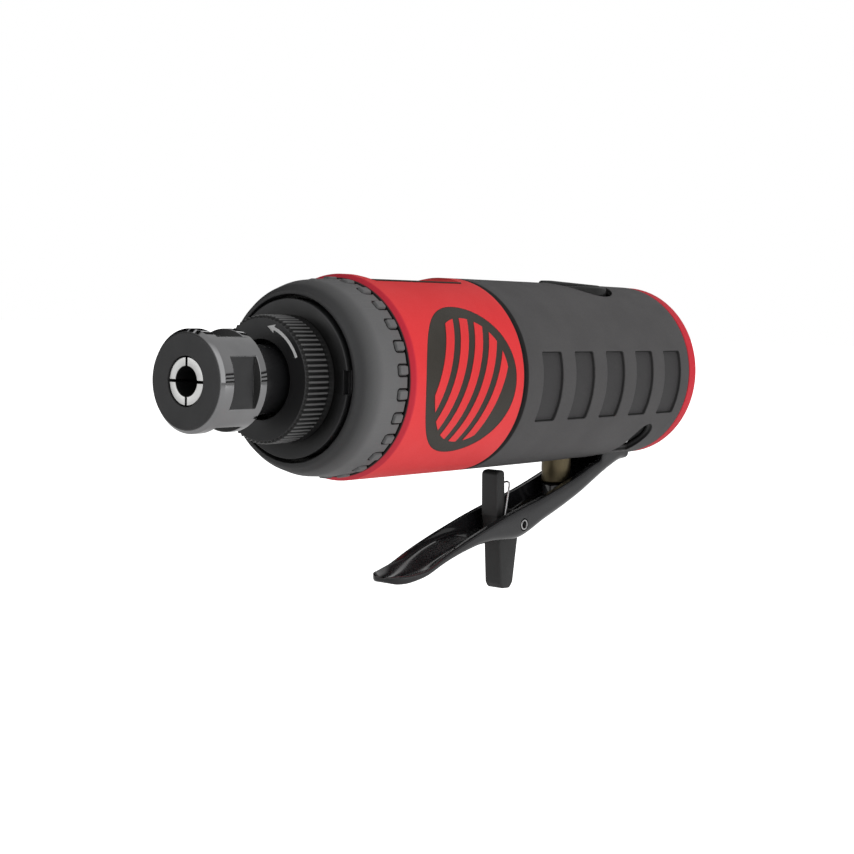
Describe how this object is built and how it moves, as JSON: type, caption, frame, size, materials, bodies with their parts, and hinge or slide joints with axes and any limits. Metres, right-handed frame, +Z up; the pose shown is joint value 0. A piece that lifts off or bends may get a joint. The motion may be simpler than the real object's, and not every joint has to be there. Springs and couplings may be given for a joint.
{
  "type": "die grinder",
  "caption": "Straight pneumatic die grinder: knurled nose, collet and nut, red and grey grips, throttle lever with lock-off, top air regulator, hex air inlet at the rear.",
  "frame": {"origin": "centre of the bounding box, which lies on the tool's vertical mid-plane, 15.5 mm below the spindle axis and 86.75 mm behind the collet nut's face", "axes": "+X runs along the spindle from the collet to the air inlet, +Z is up with the lever hanging below, +Y is to the left of someone who looks along +X"},
  "size_m": [0.1736, 0.0468, 0.0788],
  "materials": {
    "red_grip": "soft-touch matt red",
    "grey_grip": "soft-touch matt dark grey",
    "nose_cap": "matt dark grey moulding",
    "badge": "matt charcoal inlay",
    "housing": "black glass-filled composite",
    "clamp_ring": "satin black",
    "black_steel": "black oxide, semi-gloss",
    "lever": "gloss black",
    "lock_off": "satin black",
    "regulator": "satin black",
    "collet_steel": "bright ground",
    "steel": "ground",
    "cast_iron": "machined",
    "brass": "dull",
    "vane": "phenolic fibre",
    "seal": "matt",
    "felt": "pressed felt"
  },
  "bodies": {
    "grinder_body": {"housing": "housing", "nose_cap": "nose_cap", "clamp_ring": "clamp_ring", "clamp_ring_o_ring": "seal", "front_dust_seal": "seal", "front_bearing_outer_ring": "steel", "front_end_plate": "cast_iron", "cylinder_liner": "cast_iron", "front_dowel_pin": "steel", "rear_dowel_pin": "steel", "rear_end_plate": "cast_iron", "rear_bearing_outer_ring": "steel", "preload_washer": "steel", "front_grip_sleeve": "red_grip", "rear_grip_sleeve": "grey_grip", "left_badge": "badge", "right_badge": "badge", "rating_plate": "badge", "rear_cap": "red_grip", "exhaust_silencer": "felt", "air_inlet_bushing": "steel", "inlet_o_ring": "seal", "inlet_screen": "brass", "throttle_valve_bushing": "brass", "valve_seat_ring": "seal", "throttle_spring": "steel", "regulator_retaining_pin": "steel", "lever_pivot_pin": "steel"},
    "spindle": {"rotor": "steel", "vane_1": "vane", "vane_2": "vane", "vane_3": "vane", "vane_4": "vane", "collet_body": "black_steel", "front_bearing_spacer": "steel", "front_bearing_inner_ring": "steel", "rear_bearing_inner_ring": "steel", "rotor_circlip": "steel"},
    "front_ball_cage": {"front_bearing_cage": "steel"},
    "rear_ball_cage": {"rear_bearing_cage": "steel"},
    "collet_unit": {"collet": "collet_steel"},
    "nut_unit": {"collet_nut": "black_steel"},
    "lever_unit": {"throttle_lever": "lever", "lock_off_pin": "steel"},
    "lock_off_unit": {"lock_off_lever": "lock_off", "lock_off_spring": "steel"},
    "valve_unit": {"throttle_plunger": "brass", "throttle_poppet": "steel"},
    "regulator_unit": {"regulator_knob": "regulator", "regulator_o_ring": "seal"}
  },
  "joints": [
    {"name": "spindle_spin", "type": "hinge", "parent": "grinder_body", "child": "spindle", "pos_m": [-0.02675, 0, 0.0155], "axis": [-1, 0, 0], "continuous": true},
    {"name": "front_cage_spin", "type": "hinge", "parent": "grinder_body", "child": "front_ball_cage", "pos_m": [-0.04975, 0, 0.0155], "axis": [-1, 0, 0], "continuous": true},
    {"name": "rear_cage_spin", "type": "hinge", "parent": "grinder_body", "child": "rear_ball_cage", "pos_m": [0.01025, 0, 0.0155], "axis": [-1, 0, 0], "continuous": true},
    {"name": "collet_slide", "type": "slide", "parent": "spindle", "child": "collet_unit", "axis": [-1, 0, 0], "range_m": [0, 0.002]},
    {"name": "collet_nut_turn", "type": "hinge", "parent": "collet_unit", "child": "nut_unit", "pos_m": [-0.08075, 0, 0.0155], "axis": [-1, 0, 0], "range_deg": [0, 720]},
    {"name": "throttle_lever_squeeze", "type": "hinge", "parent": "grinder_body", "child": "lever_unit", "pos_m": [0.06275, 0, -0.0017], "axis": [0, 1, 0], "range_deg": [0, 11], "stiffness_Nm_per_rad": 1.5, "springref_deg": -5.73},
    {"name": "throttle_valve_lift", "type": "slide", "parent": "grinder_body", "child": "valve_unit", "axis": [0, 0, 1], "range_m": [0, 0.0036], "deforming": ["throttle_spring"]},
    {"name": "lock_off_tilt", "type": "hinge", "parent": "lever_unit", "child": "lock_off_unit", "pos_m": [0.02455, 0, -0.0227], "axis": [0, 1, 0], "range_deg": [0, 83], "deforming": ["lock_off_spring"]},
    {"name": "regulator_turn", "type": "hinge", "parent": "grinder_body", "child": "regulator_unit", "pos_m": [0.05025, 0, 0.0355], "axis": [0, 0, 1], "range_deg": [0, 90]}
  ],
  "couplings": [
    {"joint": "front_cage_spin", "follows": "spindle_spin", "ratio": 0.4},
    {"joint": "rear_cage_spin", "follows": "spindle_spin", "ratio": 0.38667},
    {"joint": "collet_nut_turn", "follows": "collet_slide", "rad_per_m": 6283.2},
    {"joint": "throttle_valve_lift", "follows": "throttle_lever_squeeze", "m_per_rad": 0.018},
    {"joint": "lock_off_tilt", "follows": "throttle_lever_squeeze", "ratio": 7.5}
  ]
}
